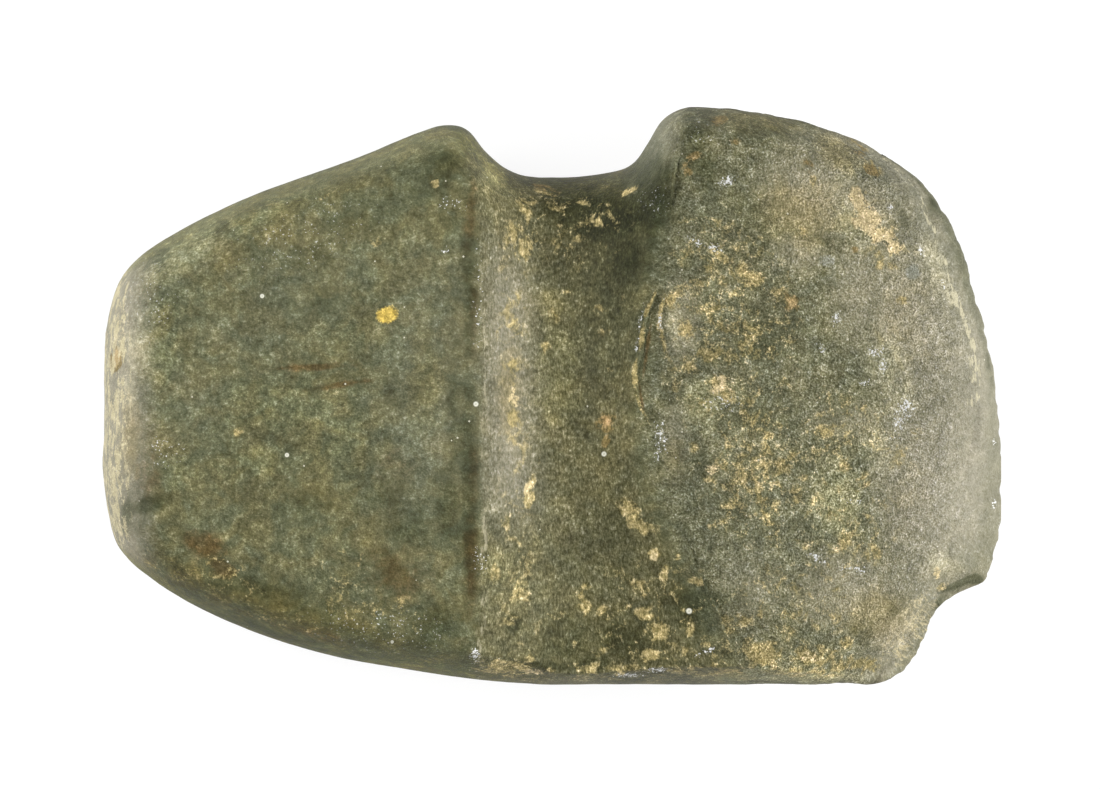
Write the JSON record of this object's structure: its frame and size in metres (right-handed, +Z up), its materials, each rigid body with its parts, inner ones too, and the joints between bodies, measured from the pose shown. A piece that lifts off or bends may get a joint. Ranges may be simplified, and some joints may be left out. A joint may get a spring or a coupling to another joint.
{
  "type": "grooved stone axe head",
  "caption": "Polished stone axe head with a three-quarter haft groove, a blunt tapered poll and a wide convex bit with a ground bevel and a chipped corner.",
  "frame": {"origin": "on the table under the middle of the object's box, with the stone lying on its rear face", "axes": "+X from the blunt poll to the bit's edge, +Y from the flat back to the groove's notch, +Z up out of the front face"},
  "size_m": [0.14, 0.09, 0.053],
  "materials": {
    "stone": "ground and polished, dark green-grey with tan speckles"
  },
  "bodies": {
    "root": {"axe_head": "stone"}
  },
  "joints": []
}
